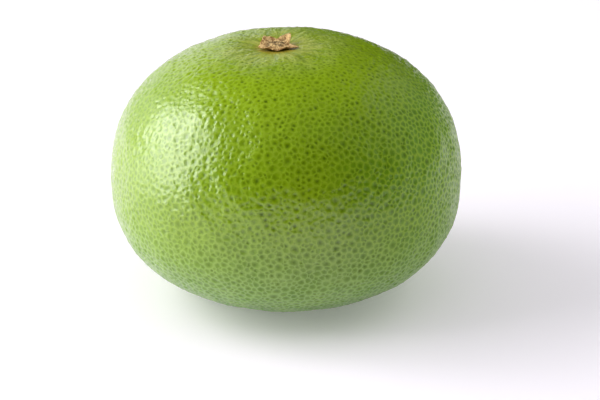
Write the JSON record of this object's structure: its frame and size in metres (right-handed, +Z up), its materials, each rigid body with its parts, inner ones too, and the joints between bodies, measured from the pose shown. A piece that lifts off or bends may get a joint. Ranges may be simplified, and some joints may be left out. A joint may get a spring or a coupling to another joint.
{
  "type": "pomelo",
  "caption": "Whole green pomelo with its dried stem button, standing on its flattened blossom end.",
  "frame": {"origin": "middle of the flat spot that the fruit rests on, under the middle of its box", "axes": "+Z up, from the resting spot towards the stem end; -Y is the side that faces the viewer, and the stem button lies 3.4 mm off the middle towards -X"},
  "size_m": [0.1255, 0.1244, 0.0941],
  "materials": {
    "rind": "waxy green citrus rind, dimpled by oil glands",
    "dried_calyx": "dry, brown and matte"
  },
  "bodies": {
    "root": {"fruit": "rind", "stem_button": "dried_calyx"}
  },
  "joints": []
}
